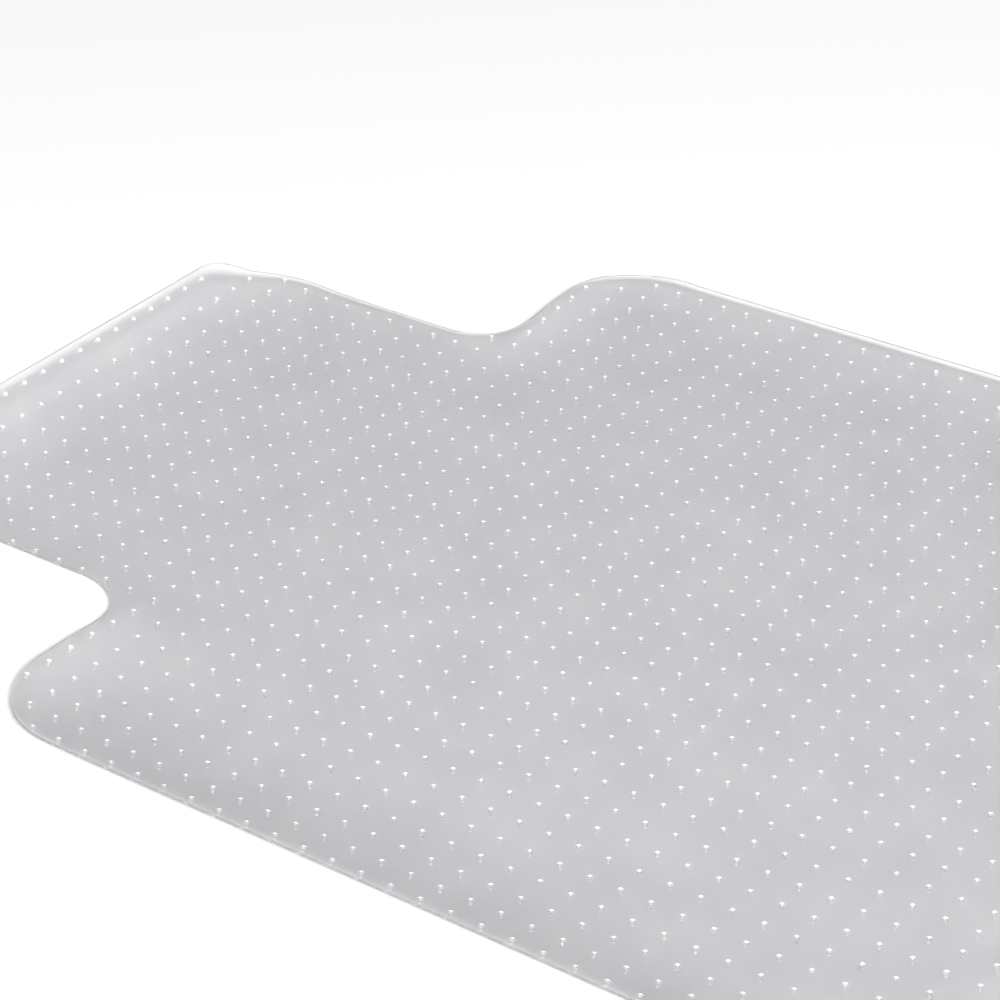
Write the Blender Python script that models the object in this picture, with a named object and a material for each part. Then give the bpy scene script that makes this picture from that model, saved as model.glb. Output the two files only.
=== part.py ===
"""Chair mat: a clear studded PVC sheet with a lip, which lies under an office chair.

One moulded sheet, 2 mm thick, stands on short studs that keep it off a carpet. The sheet was sold
rolled up, so its edges still curl: most at the front of the lip, less along the sides.

Frame: metres, origin on the floor under the middle of the footprint, +Y towards the lip and the desk,
+X to the sitter's right, +Z up.
"""

import math

import bmesh
import bpy
import numpy as np
from mathutils import Vector
from mathutils.geometry import delaunay_2d_cdt

# Footprint, as the mat lies. Laid flat it is 0.914 x 1.219 m (36 x 48 in): the curl takes up the rest.
WIDTH = 0.914
LENGTH = 1.207
LIP_WIDTH = 0.512
LIP_DEPTH = 0.286
CORNER_RADIUS = 0.080
NOTCH_RADIUS = 0.060
ARC_STEPS = 8

# Sheet and studs.
SHEET_THICKNESS = 0.002
STUD_HEIGHT = 0.0045
STUD_ROOT_RADIUS = 0.0024
STUD_NECK_RADIUS = 0.0015
STUD_TIP_RADIUS = 0.0009
STUD_ROOT_FLARE = 0.0009
STUD_SIDES = 8
MOULDED_GAP = 0.0003

# The studs stand on a square lattice, anchored by one of them near the middle. Only the studs of every
# few rows, all on the flat middle, are solids of their own here: they carry the load of them all.
STUD_PITCH = 0.0246
STUD_ANCHOR_X = -0.0037
STUD_ANCHOR_Y = -0.0095
SUPPORT_STEP_X = 5 * STUD_PITCH
SUPPORT_STEP_Y = 4 * STUD_PITCH
BODY_COLUMNS = range(-2, 3)
BODY_ROWS = range(-5, 4)
LIP_COLUMNS = range(-1, 2)
LIP_ROWS = range(4, 6)

# How far each edge rises above the flat middle, and how far in from the edge the rise reaches. The
# front also has a steep band along its edge, set off from the gentler curl behind it by a soft crease.
FRONT_RISE, FRONT_REACH = 0.0234, 0.251
BAND_RISE, BAND_REACH = 0.0132, 0.0209
REAR_RISE, REAR_REACH = 0.0110, 0.216
LEFT_RISE, LEFT_REACH = 0.0168, 0.270
RIGHT_RISE, RIGHT_REACH = 0.0085, 0.246
LIP_SIDE_RISE, LIP_SIDE_REACH = 0.0040, 0.172
SHOULDER_RISE, SHOULDER_REACH = 0.0118, 0.197
SHOULDER_TAPER_START, SHOULDER_TAPER_LENGTH = -0.030, 0.123
LIP_BLEND_START, LIP_BLEND_LENGTH = -0.037, 0.098
CURL_POWER = 6
BAND_POWER = 1.3
PRESSED_FLAT = 0.0002

# Mesh density: the band next to the edge has a point every half pitch, the band inside it one every
# pitch, and the flat middle one every few pitches. Along the front, rows follow the steep band.
FINE_BAND = 1.7 * STUD_PITCH
MEDIUM_BAND = 5.0 * STUD_PITCH
EDGE_CLEARANCE = 0.3 * STUD_PITCH
BAND_ROWS = (0.0070, 0.0140, 0.0209, 0.0290)
FLAT_STEP = 8
EDGE_STEP = STUD_PITCH

HALF_WIDTH = WIDTH / 2
HALF_LENGTH = LENGTH / 2
HALF_LIP = LIP_WIDTH / 2
SHOULDER_Y = HALF_LENGTH - LIP_DEPTH
UNDERSIDE = STUD_HEIGHT + MOULDED_GAP

PVC_COLOUR = (0.78, 0.79, 0.81)
STUD_COLOUR = (0.84, 0.85, 0.87)


def clear_scene():
    for old in list(bpy.data.objects):
        bpy.data.objects.remove(old)


def clear_plastic(name, colour, roughness):
    material = bpy.data.materials.new(name)
    material.use_nodes = True
    shader = material.node_tree.nodes["Principled BSDF"]
    shader.inputs["Base Color"].default_value = (*colour, 1)
    shader.inputs["Metallic"].default_value = 0
    shader.inputs["Roughness"].default_value = roughness
    shader.inputs["IOR"].default_value = 1.53
    shader.inputs["Transmission Weight"].default_value = 0.6
    return material


def add_object(name, mesh, material):
    made = bpy.data.objects.new(name, mesh)
    bpy.context.scene.collection.objects.link(made)
    made.data.materials.append(material)
    return made


# Outline


def rounded_corner(before, corner, after, radius):
    """The arc that rounds a square corner, whether it turns outwards or inwards."""
    back = (before - corner).normalized()
    onward = (after - corner).normalized()
    centre = corner + (back + onward) * radius
    arc = []
    for step in range(ARC_STEPS + 1):
        turn = math.pi / 2 * step / ARC_STEPS
        arc.append(centre - onward * radius * math.cos(turn) - back * radius * math.sin(turn))
    return arc


def outline():
    """The mat's edge seen from above, anticlockwise: a rectangle with a narrower lip at its front."""
    right_half = [
        (HALF_WIDTH, -HALF_LENGTH, CORNER_RADIUS),
        (HALF_WIDTH, SHOULDER_Y, CORNER_RADIUS),
        (HALF_LIP, SHOULDER_Y, NOTCH_RADIUS),
        (HALF_LIP, HALF_LENGTH, CORNER_RADIUS),
    ]
    left_half = [(-x, y, radius) for x, y, radius in reversed(right_half)]
    corners = right_half + left_half
    points = []
    for index, (x, y, radius) in enumerate(corners):
        before = Vector(corners[index - 1][:2])
        after = Vector(corners[(index + 1) % len(corners)][:2])
        arc = rounded_corner(before, Vector((x, y)), after, radius)
        if points:
            points += between(points[-1], arc[0])
        points += arc
    return points + between(points[-1], points[0])


def between(start, end):
    """Evenly spaced points on a straight run, without its ends."""
    steps = max(1, round((end - start).length / EDGE_STEP))
    return [start.lerp(end, step / steps) for step in range(1, steps)]


def edge_distance(points, edge):
    """How far inside the outline each point is, negative where it is outside."""
    starts = np.array([tuple(p) for p in edge])
    ends = np.roll(starts, -1, axis=0)
    along = ends - starts
    offset = points[:, None, :] - starts[None, :, :]
    share = np.clip((offset * along).sum(2) / (along**2).sum(1), 0, 1)
    distance = np.linalg.norm(offset - share[:, :, None] * along, axis=2).min(1)
    crosses = (starts[:, 1] > points[:, None, 1]) != (ends[:, 1] > points[:, None, 1])
    rise_y = np.where(along[:, 1] == 0, 1, along[:, 1])
    cross_x = starts[:, 0] + (points[:, None, 1] - starts[:, 1]) * along[:, 0] / rise_y
    inside = (crosses & (cross_x > points[:, None, 0])).sum(1) % 2 == 1
    return np.where(inside, distance, -distance)


# Curl


def smooth(value):
    value = min(max(value, 0), 1)
    return value * value * (3 - 2 * value)


def curl(distance, rise, reach, power=CURL_POWER):
    """The height that one edge's curl adds at a distance in from that edge."""
    return rise * max(0, 1 - max(0, distance) / reach) ** power


def height_above_flat(x, y):
    """How far the curled edges lift the sheet at a point of its footprint."""
    in_lip = smooth((y - SHOULDER_Y - LIP_BLEND_START) / LIP_BLEND_LENGTH)
    on_shoulder = smooth((abs(x) - HALF_LIP - SHOULDER_TAPER_START) / SHOULDER_TAPER_LENGTH)
    lifted = (
        curl(HALF_LENGTH - y, FRONT_RISE, FRONT_REACH)
        + curl(HALF_LENGTH - y, BAND_RISE, BAND_REACH, BAND_POWER)
        + curl(HALF_LENGTH + y, REAR_RISE, REAR_REACH)
        + curl(HALF_WIDTH + x, LEFT_RISE, LEFT_REACH)
        + curl(HALF_WIDTH - x, RIGHT_RISE, RIGHT_REACH)
        + in_lip * curl(HALF_LIP - abs(x), LIP_SIDE_RISE, LIP_SIDE_REACH)
        + on_shoulder * curl(abs(SHOULDER_Y - y), SHOULDER_RISE, SHOULDER_REACH)
    )
    return max(0, lifted - PRESSED_FLAT)


# Sheet


def inner_points(edge):
    """Points inside the outline, on a lattice that is dense where the sheet curls."""
    half_pitch = STUD_PITCH / 2
    columns = int(HALF_WIDTH / half_pitch)
    rows = int(HALF_LENGTH / half_pitch)
    marks = [(a, b) for a in range(-columns, columns + 1) for b in range(-rows, rows + 1)]
    points = np.array(marks) * half_pitch
    kept = []
    for (column, row), (x, y), depth in zip(marks, points, edge_distance(points, edge)):
        step = 1 if depth < FINE_BAND else 2 if depth < MEDIUM_BAND else FLAT_STEP
        in_front_band = HALF_LENGTH - y < BAND_ROWS[-1] + EDGE_CLEARANCE
        if depth > EDGE_CLEARANCE and column % step == 0 and row % step == 0 and not in_front_band:
            kept.append(Vector((x, y)))
    return kept + band_points(edge, half_pitch)


def band_points(edge, spacing):
    """Rows of points along the front edge, where its steep band bends and then creases."""
    columns = range(-int(HALF_LIP / spacing), int(HALF_LIP / spacing) + 1)
    points = np.array([(a * spacing, HALF_LENGTH - row) for row in BAND_ROWS for a in columns])
    deep_enough = edge_distance(points, edge) > 0.6 * BAND_ROWS[0]
    return [Vector(point) for point in points[deep_enough]]


def build_sheet(material):
    """The sheet: its underside is a curled surface, which Solidify thickens upwards."""
    edge = outline()
    flat = edge + inner_points(edge)
    points, _, triangles, *_ = delaunay_2d_cdt(flat, [], [list(range(len(edge)))], 1, 1e-6)
    surface = bmesh.new()
    verts = [surface.verts.new((x, y, UNDERSIDE + height_above_flat(x, y))) for x, y in points]
    for triangle in triangles:
        surface.faces.new([verts[index] for index in triangle])
    bmesh.ops.recalc_face_normals(surface, faces=surface.faces)
    if surface.faces[:][0].normal.z < 0:
        bmesh.ops.reverse_faces(surface, faces=surface.faces)
    mesh = bpy.data.meshes.new("mat_sheet")
    surface.to_mesh(mesh)
    surface.free()
    sheet = add_object("mat_sheet", mesh, material)
    sheet.data.shade_smooth()
    thicken = sheet.modifiers.new("thickness", "SOLIDIFY")
    thicken.thickness = SHEET_THICKNESS
    thicken.offset = 1
    return sheet


# Studs


def turned_mesh(name, profile, sides):
    """A closed solid turned about Z from (radius, height) pairs, lowest first."""
    solid = bmesh.new()
    rings = []
    for radius, height in profile:
        turns = [2 * math.pi * side / sides for side in range(sides)]
        ring = [solid.verts.new((radius * math.cos(t), radius * math.sin(t), height)) for t in turns]
        rings.append(ring)
    for lower, upper in zip(rings, rings[1:]):
        for side in range(sides):
            after = (side + 1) % sides
            solid.faces.new((lower[side], lower[after], upper[after], upper[side]))
    solid.faces.new(list(reversed(rings[0])))
    solid.faces.new(rings[-1])
    mesh = bpy.data.meshes.new(name)
    solid.to_mesh(mesh)
    solid.free()
    return mesh


def build_studs(material):
    """The studs that are solids of their own: a blunt cone that flares where it meets the sheet."""
    profile = [
        (STUD_TIP_RADIUS, 0),
        (STUD_NECK_RADIUS, STUD_HEIGHT - STUD_ROOT_FLARE),
        (STUD_ROOT_RADIUS, STUD_HEIGHT),
    ]
    mesh = turned_mesh("stud", profile, STUD_SIDES)
    mesh.materials.append(material)
    places = [("body", row, column) for row in BODY_ROWS for column in BODY_COLUMNS]
    places += [("lip", row, column) for row in LIP_ROWS for column in LIP_COLUMNS]
    for area, row, column in places:
        place = f"row{row - BODY_ROWS[0] + 1:02d}_col{column - BODY_COLUMNS[0] + 1}"
        stud = bpy.data.objects.new(f"{area}_stud_{place}", mesh)
        bpy.context.scene.collection.objects.link(stud)
        stud.location = (
            STUD_ANCHOR_X + column * SUPPORT_STEP_X,
            STUD_ANCHOR_Y + row * SUPPORT_STEP_Y,
            0,
        )


def main():
    clear_scene()
    build_sheet(clear_plastic("clear_pvc_sheet", PVC_COLOUR, 0.15))
    build_studs(clear_plastic("clear_pvc_stud", STUD_COLOUR, 0.10))


main()
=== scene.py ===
"""Looks of the clear studded chair mat.

One closed mesh is the whole moulding: the glossy top with a small sink mark over every stud, the cut
edge, the underside and all its studs. It stands for mat_sheet and for the sample studs of the CAD.
"""

import math

import bpy
import numpy as np
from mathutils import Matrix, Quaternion, Vector
from mathutils.geometry import delaunay_2d_cdt


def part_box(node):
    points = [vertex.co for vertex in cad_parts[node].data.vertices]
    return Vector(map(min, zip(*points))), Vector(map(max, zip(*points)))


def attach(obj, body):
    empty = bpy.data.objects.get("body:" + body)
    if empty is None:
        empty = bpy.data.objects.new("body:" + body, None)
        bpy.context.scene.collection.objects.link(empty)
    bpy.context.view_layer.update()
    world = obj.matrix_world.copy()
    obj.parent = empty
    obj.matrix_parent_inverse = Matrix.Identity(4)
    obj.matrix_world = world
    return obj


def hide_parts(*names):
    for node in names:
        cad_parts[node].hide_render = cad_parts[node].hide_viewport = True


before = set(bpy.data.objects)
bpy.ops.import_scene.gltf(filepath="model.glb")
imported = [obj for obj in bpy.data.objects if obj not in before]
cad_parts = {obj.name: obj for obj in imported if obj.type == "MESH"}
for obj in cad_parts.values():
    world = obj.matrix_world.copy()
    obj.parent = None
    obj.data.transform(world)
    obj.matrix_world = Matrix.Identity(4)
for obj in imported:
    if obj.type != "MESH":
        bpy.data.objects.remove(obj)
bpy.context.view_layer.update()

SHEET_LOW, SHEET_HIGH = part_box("mat_sheet")
MIDDLE_STUD_LOW, MIDDLE_STUD_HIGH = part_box("body_stud_row06_col3")
NEXT_STUD_LOW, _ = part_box("body_stud_row06_col4")
PITCHES_BETWEEN_SAMPLES = 5  # the CAD has every fifth stud of a row across the mat

# Footprint, as the CAD has it.
HALF_WIDTH = SHEET_HIGH.x
HALF_LENGTH = SHEET_HIGH.y
HALF_LIP = 0.256
SHOULDER_Y = HALF_LENGTH - 0.286
CORNER_RADIUS = 0.080
NOTCH_RADIUS = 0.060

# Sheet and studs.
UNDERSIDE = SHEET_LOW.z
THICKNESS = 0.002
PITCH = (NEXT_STUD_LOW.x - MIDDLE_STUD_LOW.x) / PITCHES_BETWEEN_SAMPLES
ANCHOR = (MIDDLE_STUD_LOW + MIDDLE_STUD_HIGH) / 2
STUD_MARGIN = 0.0040  # no stud stands nearer than this to the edge
# The second material slot is painted highlight: whiter, less clear patches that stand in for the glints
# light makes in the studs.
CLEAR, PAINTED_GLINT = 0, 1  # material slots
# A stud's rings, from its root to its tip: (radius, depth, tilt of the surface from facing down, and
# the slot of the surface between this ring and the one above).
# The rings in the painted highlight slot are whitened to stand in for the bright arch and dot of light
# in each stud.
STUD_RINGS = (
    (0.0024, 0.0, 0, CLEAR),
    (0.0022, 0.0003, 50, PAINTED_GLINT),
    (0.0016, 0.0012, 70, PAINTED_GLINT),
    (0.0014, 0.0030, 80, CLEAR),
    (0.0009, UNDERSIDE, 30, PAINTED_GLINT),
)
STUD_SIDES = 8
# The rings of the sink mark over a stud, from its rim inwards: (radius, depth, tilt from facing up).
SINK_RINGS = (
    (0.0026, 0.0, 0),
    (0.0015, 0.00020, 18),
)
SINK_DEPTH = 0.00040
SINK_SIDES = 7

# Curl, as the CAD has it: how far each edge rises, and how far in the rise reaches.
FRONT_RISE, FRONT_REACH = 0.0234, 0.251
BAND_RISE, BAND_REACH = 0.0132, 0.0209
REAR_RISE, REAR_REACH = 0.0110, 0.216
LEFT_RISE, LEFT_REACH = 0.0168, 0.270
RIGHT_RISE, RIGHT_REACH = 0.0085, 0.246
LIP_SIDE_RISE, LIP_SIDE_REACH = 0.0040, 0.172
SHOULDER_RISE, SHOULDER_REACH = 0.0118, 0.197
SHOULDER_TAPER_START, SHOULDER_TAPER_LENGTH = -0.030, 0.123
LIP_BLEND_START, LIP_BLEND_LENGTH = -0.037, 0.098
CURL_POWER = 6
BAND_POWER = 1.3
PRESSED_FLAT = 0.0002
FLAT_SOFTNESS = 0.00005

# Mesh density. The points between the studs keep the two clearances from the edge and the rings.
ARC_STEPS = 20
EDGE_STEP = 0.0065
EDGE_CLEARANCE = 0.0035
STUD_CLEARANCE = 0.0020
FINE_NEAR_EDGE = 3 * PITCH  # how far in from the edge the mesh is finer

# Steps of the numeric work.
ROW_SAMPLES = 6001
SLOPE_STEP = 0.0004
INSET_STEP = 0.001
POINTS_AT_ONCE = 2000

# The cut edge's loops, from the top to the underside: (inset, share of the thickness, tilt from up).
EDGE_LOOPS = (
    (0.0004, 1.0, 0),
    (0.0001, 0.94, 45),
    (0.0, 0.80, 90),
    (0.0, 0.20, 90),
    (0.0001, 0.06, 135),
    (0.0004, 0.0, 180),
)
# The steep band along the front edge: its points' spacing, and how far in it reaches.
BAND_STEP = 0.0050
BAND_STEP_ACROSS = BAND_STEP * 1.6
BAND_DEPTH = 0.034

# Materials. Most of a noise field lies between the first two values.
NOISE_LOW, NOISE_HIGH = 0.3, 0.7
PVC_IOR = 1.53
FLOOR_GREY = 0.62

# Camera.
CAMERA_PLACE = Vector((-1.6580, -0.9371, 1.2275))
CAMERA_AIM = Vector((0.0418, 0.1762, 0.0))
CAMERA_ROLL = math.radians(0.77)
CAMERA_LENS = 101.55
CAMERA_REACH = 150

# Stage.
FLOOR_REACH = 40.0
KEY_PLACE = Vector((-8.8, -8.8, 8.4))
KEY_SIZE = 2.5
KEY_POWER = 5500
WORLD_STRENGTH = 0.4


# Curl


def smooth(value):
    value = np.clip(value, 0, 1)
    return value * value * (3 - 2 * value)


def curl(distance, rise, reach, power=CURL_POWER):
    """The height that one edge's curl adds at a distance in from that edge."""
    return rise * np.clip(1 - np.clip(distance, 0, None) / reach, 0, None) ** power


def height_above_flat(x, y):
    """How far the curled edges lift the sheet at points of its footprint."""
    in_lip = smooth((y - SHOULDER_Y - LIP_BLEND_START) / LIP_BLEND_LENGTH)
    on_shoulder = smooth((abs(x) - HALF_LIP - SHOULDER_TAPER_START) / SHOULDER_TAPER_LENGTH)
    lifted = (
        curl(HALF_LENGTH - y, FRONT_RISE, FRONT_REACH)
        + curl(HALF_LENGTH - y, BAND_RISE, BAND_REACH, BAND_POWER)
        + curl(HALF_LENGTH + y, REAR_RISE, REAR_REACH)
        + curl(HALF_WIDTH + x, LEFT_RISE, LEFT_REACH)
        + curl(HALF_WIDTH - x, RIGHT_RISE, RIGHT_REACH)
        + in_lip * curl(HALF_LIP - abs(x), LIP_SIDE_RISE, LIP_SIDE_REACH)
        + on_shoulder * curl(abs(SHOULDER_Y - y), SHOULDER_RISE, SHOULDER_REACH)
    )
    lifted = lifted - PRESSED_FLAT
    return (lifted + np.sqrt(lifted**2 + FLAT_SOFTNESS**2)) / 2


def slopes(points):
    """The sheet's slope along X and Y at each point."""
    x, y = points.T
    step = SLOPE_STEP
    along_x = (height_above_flat(x + step, y) - height_above_flat(x - step, y)) / (2 * step)
    along_y = (height_above_flat(x, y + step) - height_above_flat(x, y - step)) / (2 * step)
    return along_x, along_y


def unit(vectors):
    return vectors / np.linalg.norm(vectors, axis=1)[:, None]


def normals(points):
    """Upward normals of the sheet."""
    along_x, along_y = slopes(points)
    return unit(np.stack([-along_x, -along_y, np.ones(len(points))], axis=1))


def tilted(start, towards, tilt):
    """Unit vectors, turned by tilt degrees from start towards a direction square to it."""
    turn = math.radians(tilt)
    return unit(start * math.cos(turn) + towards * math.sin(turn))


def underside(points):
    """The underside's places at points of the footprint."""
    x, y = points.T
    return np.stack([x, y, UNDERSIDE + height_above_flat(x, y)], axis=1)


def top(points):
    """The top's places, one thickness from the underside."""
    return underside(points) + normals(points) * THICKNESS


# Outline


def rounded_corner(before, corner, after, radius, inset):
    """The arc that rounds a square corner, which an inset makes tighter or, in a notch, wider."""
    back = (before - corner).normalized()
    onward = (after - corner).normalized()
    centre = corner + (back + onward) * radius
    turns_left = (corner - before).cross(after - corner) > 0
    radius += -inset if turns_left else inset
    arc = []
    for step in range(ARC_STEPS + 1):
        turn = math.pi / 2 * step / ARC_STEPS
        arc.append(centre - onward * radius * math.cos(turn) - back * radius * math.sin(turn))
    return arc


def outline(inset=0.0):
    """The mat's edge seen from above, anticlockwise: a rectangle with a narrower lip at its front."""
    right_half = [
        (HALF_WIDTH, -HALF_LENGTH, CORNER_RADIUS),
        (HALF_WIDTH, SHOULDER_Y, CORNER_RADIUS),
        (HALF_LIP, SHOULDER_Y, NOTCH_RADIUS),
        (HALF_LIP, HALF_LENGTH, CORNER_RADIUS),
    ]
    corners = right_half + [(-x, y, radius) for x, y, radius in reversed(right_half)]
    points = []
    for index, (x, y, radius) in enumerate(corners):
        before = Vector(corners[index - 1][:2])
        after = Vector(corners[(index + 1) % len(corners)][:2])
        arc = rounded_corner(before, Vector((x, y)), after, radius, inset)
        if points:
            points += between(points[-1], arc[0])
        points += arc
    points += between(points[-1], points[0])
    return np.array([tuple(point) for point in points])


def between(start, end):
    """Evenly spaced points on a straight run, without its ends."""
    steps = max(1, round((end - start).length / EDGE_STEP))
    return [start.lerp(end, step / steps) for step in range(1, steps)]


def edge_distance(points, edge):
    """How far inside the outline each point is, negative where it is outside."""
    ends = np.roll(edge, -1, axis=0)
    along = ends - edge
    run = (along**2).sum(1)
    rise_y = np.where(along[:, 1] == 0, 1, along[:, 1])
    found = []
    for block in np.array_split(points, max(1, len(points) // POINTS_AT_ONCE)):
        offset = block[:, None, :] - edge[None, :, :]
        share = np.clip((offset * along).sum(2) / run, 0, 1)
        distance = np.linalg.norm(offset - share[:, :, None] * along, axis=2).min(1)
        crosses = (edge[:, 1] > block[:, None, 1]) != (ends[:, 1] > block[:, None, 1])
        cross_x = edge[:, 0] + (block[:, None, 1] - edge[:, 1]) * along[:, 0] / rise_y
        inside = (crosses & (cross_x > block[:, None, 0])).sum(1) % 2 == 1
        found.append(np.where(inside, distance, -distance))
    return np.concatenate(found)


# Stud places


def places_along(anchor, low_edge, high_edge):
    """Places at every half pitch of one row, measured along the curled sheet from its anchor stud.

    They come with their half-pitch numbers, which are even at studs. Each edge is its distance from
    the middle, followed by the (rise, reach) or (rise, reach, power) of its curls.
    """
    marks = np.linspace(-low_edge[0], high_edge[0], ROW_SAMPLES)
    height = sum(curl(marks + low_edge[0], *shape) for shape in low_edge[1:])
    height = height + sum(curl(high_edge[0] - marks, *shape) for shape in high_edge[1:])
    run = np.concatenate([[0], np.cumsum(np.hypot(np.diff(marks), np.diff(height)))])
    run -= np.interp(anchor, marks, run)
    first = math.ceil(run[0] / PITCH * 2)
    last = math.floor(run[-1] / PITCH * 2)
    steps = np.arange(first, last + 1)
    return steps, np.interp(steps * PITCH / 2, run, marks)


def lattice():
    """The studs, the middles of their squares and the middles of the squares' sides, seen from above."""
    column_steps, columns = places_along(
        ANCHOR.x,
        (HALF_WIDTH, (LEFT_RISE, LEFT_REACH)),
        (HALF_WIDTH, (RIGHT_RISE, RIGHT_REACH)),
    )
    row_steps, rows = places_along(
        ANCHOR.y,
        (HALF_LENGTH, (REAR_RISE, REAR_REACH)),
        (HALF_LENGTH, (FRONT_RISE, FRONT_REACH), (BAND_RISE, BAND_REACH, BAND_POWER)),
    )
    x, y = np.meshgrid(columns, rows, indexing="ij")
    odd_x, odd_y = np.meshgrid(column_steps % 2, row_steps % 2, indexing="ij")
    points = np.stack([x.ravel(), y.ravel()], axis=1)
    kind = odd_x.ravel() + odd_y.ravel()
    return points[kind == 0], points[kind == 2], points[kind == 1]


def ring(studs, radius, sides, phase=0.0):
    """Footprint points of a circle on the sheet round each stud, as an array (stud, side, 2)."""
    along_x, along_y = slopes(studs)
    turn = 2 * math.pi * np.arange(sides) / sides + phase
    offset_x = radius * np.cos(turn)[None, :] / np.sqrt(1 + along_x**2)[:, None]
    offset_y = radius * np.sin(turn)[None, :] / np.sqrt(1 + along_y**2)[:, None]
    return np.stack([studs[:, :1] + offset_x, studs[:, 1:] + offset_y], axis=2)


def nearest_stud(points, studs):
    """How far each point is from the nearest stud."""
    found = []
    for block in np.array_split(points, max(1, len(points) // POINTS_AT_ONCE)):
        found.append(np.linalg.norm(block[:, None, :] - studs[None, :, :], axis=2).min(1))
    return np.concatenate(found)


# Moulding


def band_points():
    """Points on the steep band along the front edge."""
    across = np.arange(-HALF_LIP, HALF_LIP, BAND_STEP_ACROSS)
    down = HALF_LENGTH - np.arange(BAND_STEP, BAND_DEPTH, BAND_STEP)
    x, y = np.meshgrid(across, down, indexing="ij")
    return np.stack([x.ravel(), y.ravel()], axis=1)


def triangulate(boundary, inner):
    """Triangles over the boundary loop followed by the inner points."""
    points = [Vector(point) for point in np.concatenate([boundary, inner])]
    made, _, triangles, *_ = delaunay_2d_cdt(points, [], [list(range(len(boundary)))], 1, 1e-7)
    if len(made) != len(points):
        raise ValueError("two points of the sheet coincide")
    return np.array(triangles)


class Skin:
    """The mesh's vertices with their outward directions, and its faces with their material slots."""

    def __init__(self):
        self.places, self.directions = [], []
        self.faces, self.slots = [], []
        self.count = 0

    def add_points(self, places, directions):
        """Adds vertices and returns the number of the first."""
        self.places.append(places)
        self.directions.append(directions)
        self.count += len(places)
        return self.count - len(places)

    def add_faces(self, faces, slot):
        self.faces += faces.tolist()
        self.slots += [slot] * len(faces)


def band(upper, lower):
    """Quads between closed loops of vertices, given as arrays (loop, place along it)."""
    next_lower, next_upper = np.roll(lower, -1, axis=1), np.roll(upper, -1, axis=1)
    return np.stack([upper, lower, next_lower, next_upper], axis=2).reshape(-1, 4)


def add_top(skin, boundary, studs, loose):
    """The top, with a sink mark over every stud. Its first vertices are the boundary's."""
    loose = loose[nearest_stud(loose, studs) > SINK_RINGS[0][0] + STUD_CLEARANCE]
    rings = [ring(studs, radius, SINK_SIDES).reshape(-1, 2) for radius, _, _ in SINK_RINGS]
    flat = np.concatenate([boundary, loose, studs] + rings)
    places, facing = top(flat), normals(flat)
    first_middle = len(boundary) + len(loose)
    first = first_middle + len(studs)
    middles = places[first_middle:first].copy()
    places[first_middle:first] -= facing[first_middle:first] * SINK_DEPTH
    for _, depth, tilt in SINK_RINGS:
        last = first + len(studs) * SINK_SIDES
        inward = unit(np.repeat(middles, SINK_SIDES, axis=0) - places[first:last])
        up = facing[first:last].copy()
        facing[first:last] = tilted(up, inward, tilt)
        places[first:last] -= up * depth
        first = last
    skin.add_points(places, facing)
    triangles = triangulate(boundary, flat[len(boundary) :])
    # Faces round the middle of each sink mark take the painted highlight slot: a whiter patch that
    # stands in for the glint over each stud.
    over_stud = (triangles >= first_middle) & (triangles < first_middle + len(studs))
    over_stud = over_stud.any(axis=1)
    skin.add_faces(triangles[~over_stud], CLEAR)
    skin.add_faces(triangles[over_stud], PAINTED_GLINT)


def add_underside(skin, boundary, studs, loose):
    """The underside, with a hole at every stud. Returns the loops of its edge and of the holes."""
    roots = ring(studs, STUD_RINGS[0][0], STUD_SIDES).reshape(-1, 2)
    loose = loose[nearest_stud(loose, studs) > STUD_RINGS[0][0] + STUD_CLEARANCE]
    flat = np.concatenate([boundary, roots, loose])
    triangles = triangulate(boundary, flat[len(boundary) :])
    owner = np.full(len(flat), -1)
    owner[len(boundary) : len(boundary) + len(roots)] = np.arange(len(roots)) // STUD_SIDES
    owners = owner[triangles]
    on_stud = (owners[:, 0] >= 0) & (owners == owners[:, :1]).all(axis=1)
    first = skin.add_points(underside(flat), -normals(flat))
    skin.add_faces(triangles[~on_stud][:, ::-1] + first, CLEAR)
    edge_loop = np.arange(len(boundary))[None, :] + first
    holes = np.arange(len(roots)).reshape(-1, STUD_SIDES) + first + len(boundary)
    return edge_loop, holes


def add_studs(skin, studs, holes):
    """The studs, which hang from the underside's holes."""
    middles = np.repeat(underside(studs), STUD_SIDES, axis=0)
    down = np.repeat(-normals(studs), STUD_SIDES, axis=0)
    upper = holes
    for radius, depth, tilt, slot in STUD_RINGS[1:]:
        circle = underside(ring(studs, radius, STUD_SIDES).reshape(-1, 2))
        first = skin.add_points(circle + down * depth, tilted(down, unit(circle - middles), tilt))
        lower = np.arange(len(circle)).reshape(-1, STUD_SIDES) + first
        skin.add_faces(band(upper, lower), slot)
        upper = lower
    # The tip caps are painted highlight too, standing in for the bright dot of light at each tip.
    skin.add_faces(upper[:, ::-1], PAINTED_GLINT)


def add_cut_edge(skin, edge, underside_loop):
    """The cut edge, from the top's boundary down to the underside's."""
    outward = unit(underside(edge) - underside(outline(INSET_STEP)))
    upper = np.arange(len(edge))[None, :]
    for inset, share, tilt in EDGE_LOOPS[1:-1]:
        loop = outline(inset)
        up = normals(loop)
        first = skin.add_points(underside(loop) + up * (THICKNESS * share), tilted(up, outward, tilt))
        lower = np.arange(len(loop))[None, :] + first
        skin.add_faces(band(upper, lower), CLEAR)
        upper = lower
    skin.add_faces(band(upper, underside_loop), CLEAR)


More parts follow.
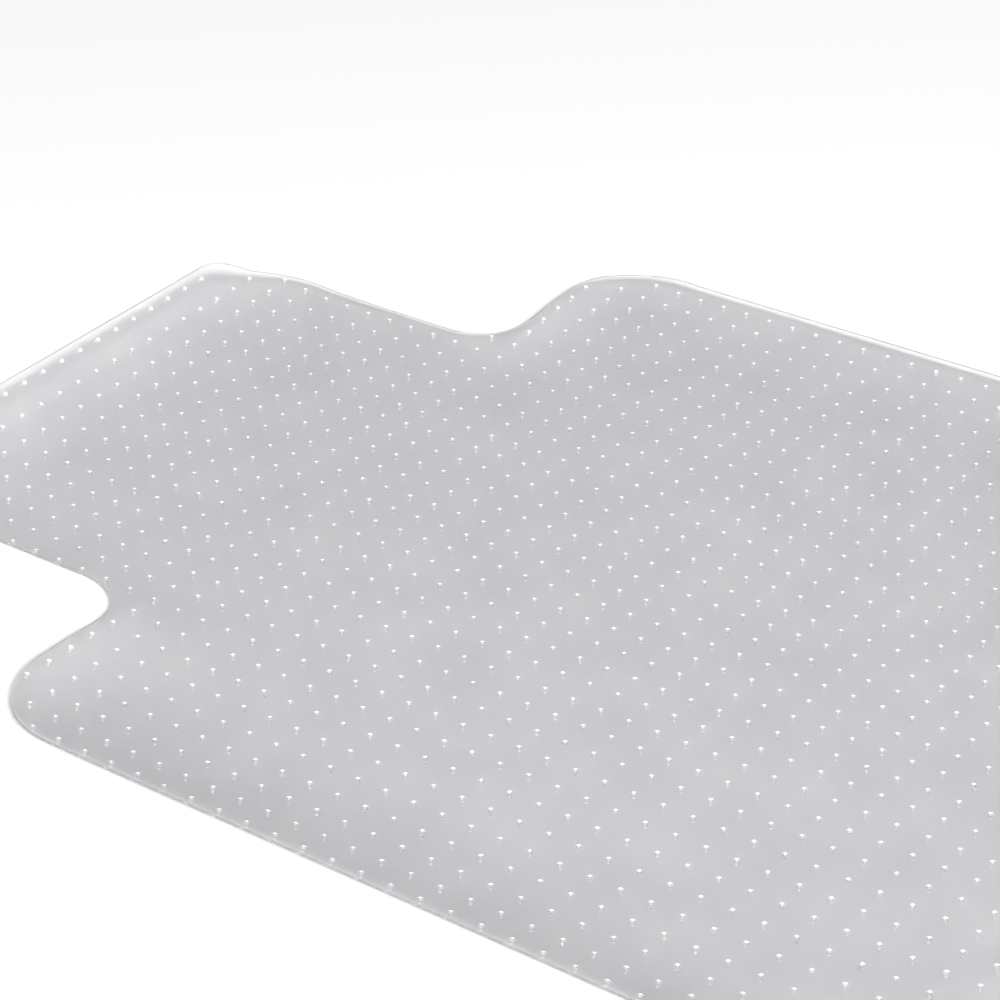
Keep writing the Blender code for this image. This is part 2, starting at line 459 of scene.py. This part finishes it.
def build_moulding():
    edge = outline()
    boundary = outline(EDGE_LOOPS[0][0])
    studs, centres, halfway = lattice()
    studs = studs[edge_distance(studs, edge) > STUD_MARGIN]
    near_edge = halfway[edge_distance(halfway, edge) < FINE_NEAR_EDGE]
    loose = np.concatenate([centres, near_edge, band_points()])
    loose = loose[edge_distance(loose, boundary) > EDGE_CLEARANCE]

    skin = Skin()
    add_top(skin, boundary, studs, loose)
    underside_loop, holes = add_underside(skin, boundary, studs, loose)
    add_studs(skin, studs, holes)
    add_cut_edge(skin, edge, underside_loop)

    mesh = bpy.data.meshes.new("chair_mat")
    mesh.from_pydata(np.concatenate(skin.places).tolist(), [], skin.faces)
    mesh.shade_smooth()
    mesh.polygons.foreach_set("material_index", np.array(skin.slots, dtype=np.int32))
    mesh.normals_split_custom_set_from_vertices(np.concatenate(skin.directions).tolist())
    moulding = bpy.data.objects.new("chair_mat", mesh)
    bpy.context.scene.collection.objects.link(moulding)
    return moulding


# Materials


def new_material(name):
    material = bpy.data.materials.new(name)
    material.use_nodes = True
    return material, material.node_tree, material.node_tree.nodes["Principled BSDF"]


def add_noise(tree, scale, detail):
    """A noise field fixed to the mat, with about scale features to the metre."""
    place = tree.nodes.new("ShaderNodeTexCoord")
    noise = tree.nodes.new("ShaderNodeTexNoise")
    noise.inputs["Scale"].default_value = scale
    noise.inputs["Detail"].default_value = detail
    tree.links.new(place.outputs["Object"], noise.inputs["Vector"])
    return noise.outputs["Fac"]


def add_range(tree, factor, low, high):
    """A noise spread out to run from low to high."""
    spread = tree.nodes.new("ShaderNodeMapRange")
    spread.inputs["From Min"].default_value = NOISE_LOW
    spread.inputs["From Max"].default_value = NOISE_HIGH
    spread.inputs["To Min"].default_value = low
    spread.inputs["To Max"].default_value = high
    tree.links.new(factor, spread.inputs["Value"])
    return spread.outputs["Result"]


def add_bump(tree, shader, factor, strength, distance):
    bump = tree.nodes.new("ShaderNodeBump")
    bump.inputs["Strength"].default_value = strength
    bump.inputs["Distance"].default_value = distance
    tree.links.new(factor, bump.inputs["Height"])
    tree.links.new(bump.outputs["Normal"], shader.inputs["Normal"])


def clear_pvc():
    """Clear PVC with a fine grain, faint clouds and a gloss that wear has made slightly uneven."""
    material, tree, shader = new_material("clear_pvc")
    shader.inputs["IOR"].default_value = PVC_IOR
    shader.inputs["Transmission Weight"].default_value = 0.88
    grain = add_noise(tree, 620, 2)
    add_bump(tree, shader, grain, 0.10, 0.0004)
    wear = add_range(tree, add_noise(tree, 45, 4), 0.05, 0.12)
    tree.links.new(wear, shader.inputs["Roughness"])
    clouds = tree.nodes.new("ShaderNodeMix")
    clouds.data_type = "RGBA"
    clouds.inputs["A"].default_value = (0.925, 0.925, 0.948, 1)
    clouds.inputs["B"].default_value = (0.975, 0.975, 0.988, 1)
    cloudiness = add_range(tree, add_noise(tree, 14, 8), 0, 1)
    tree.links.new(cloudiness, clouds.inputs["Factor"])
    tree.links.new(clouds.outputs["Result"], shader.inputs["Base Color"])
    return material


def painted_glint_pvc():
    """Painted highlight: a rougher, whiter and less clear skin on the studs' roots, their tips and the
    sink marks, which stands in for the bright glints that light makes in the studs.
    """
    material, tree, shader = new_material("painted_glint_pvc")
    shader.inputs["Base Color"].default_value = (1, 1, 1, 1)
    shader.inputs["IOR"].default_value = PVC_IOR
    shader.inputs["Transmission Weight"].default_value = 0.3
    grain = add_noise(tree, 900, 2)
    add_bump(tree, shader, grain, 0.15, 0.0004)
    tree.links.new(add_range(tree, grain, 0.2, 0.4), shader.inputs["Roughness"])
    return material


def pale_floor():
    material, _, shader = new_material("pale_floor")
    shader.inputs["Base Color"].default_value = (FLOOR_GREY, FLOOR_GREY, FLOOR_GREY, 1)
    shader.inputs["Roughness"].default_value = 0.9
    return material


# Stage


def add_camera():
    data = bpy.data.cameras.new("camera")
    data.lens = CAMERA_LENS
    data.sensor_width = 36
    data.clip_end = CAMERA_REACH
    camera = bpy.data.objects.new("camera", data)
    camera.location = CAMERA_PLACE
    camera.rotation_mode = "QUATERNION"
    look = (CAMERA_AIM - CAMERA_PLACE).to_track_quat("-Z", "Y")
    camera.rotation_quaternion = look @ Quaternion((0, 0, 1), CAMERA_ROLL)
    bpy.context.scene.collection.objects.link(camera)
    bpy.context.scene.camera = camera


def add_floor():
    reach = FLOOR_REACH
    corners = [(-reach, -reach, 0), (reach, -reach, 0), (reach, reach, 0), (-reach, reach, 0)]
    mesh = bpy.data.meshes.new("floor")
    mesh.from_pydata(corners, [], [(0, 1, 2, 3)])
    floor = bpy.data.objects.new("floor", mesh)
    floor.data.materials.append(pale_floor())
    bpy.context.scene.collection.objects.link(floor)


def add_lights():
    """A pale surround, and a softbox on the camera's side that shines on the middle of the mat."""
    world = bpy.data.worlds.new("studio")
    world.use_nodes = True
    background = world.node_tree.nodes["Background"]
    background.inputs["Color"].default_value = (1, 1, 1, 1)
    background.inputs["Strength"].default_value = WORLD_STRENGTH
    bpy.context.scene.world = world
    data = bpy.data.lights.new("key", "AREA")
    data.shape = "RECTANGLE"
    data.size = data.size_y = KEY_SIZE
    data.energy = KEY_POWER
    light = bpy.data.objects.new("key", data)
    light.location = KEY_PLACE
    light.rotation_mode = "QUATERNION"
    light.rotation_quaternion = (-KEY_PLACE).to_track_quat("-Z", "Y")
    bpy.context.scene.collection.objects.link(light)


moulding = build_moulding()
moulding.data.materials.append(clear_pvc())
moulding.data.materials.append(painted_glint_pvc())
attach(moulding, "root")
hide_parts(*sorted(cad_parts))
add_camera()
add_floor()
add_lights()
bpy.context.scene.view_settings.view_transform = "Standard"
